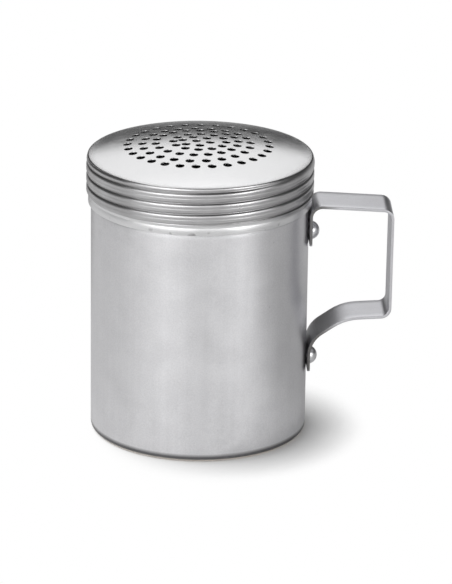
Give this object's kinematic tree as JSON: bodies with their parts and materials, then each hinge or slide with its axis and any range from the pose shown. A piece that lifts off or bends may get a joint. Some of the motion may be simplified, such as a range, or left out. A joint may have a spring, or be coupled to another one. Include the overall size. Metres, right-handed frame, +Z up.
{
  "type": "sugar dredger",
  "caption": "Cylindrical shaker can with a domed, perforated screw lid and a riveted strap handle at one side.",
  "frame": {"origin": "on the can's axis, in the plane of the foot that it stands on", "axes": "+Z up along the can's axis, +X towards the handle, -Y is the front"},
  "size_m": [0.0985, 0.0731, 0.0961],
  "materials": {
    "can_metal": "satin, fine turned brushing round the axis",
    "lid_metal": "satin, fine turned brushing round the axis",
    "strap_metal": "satin, brushed along the strap",
    "rivet_metal": "satin"
  },
  "bodies": {
    "can_body": {"can": "can_metal", "strap_handle": "strap_metal", "upper_rivet": "rivet_metal", "lower_rivet": "rivet_metal"},
    "lid": {"screw_lid": "lid_metal"}
  },
  "joints": [
    {"name": "lid_lift", "type": "slide", "parent": "can_body", "child": "lid", "axis": [0, 0, 1], "range_m": [0, 0.025]}
  ]
}
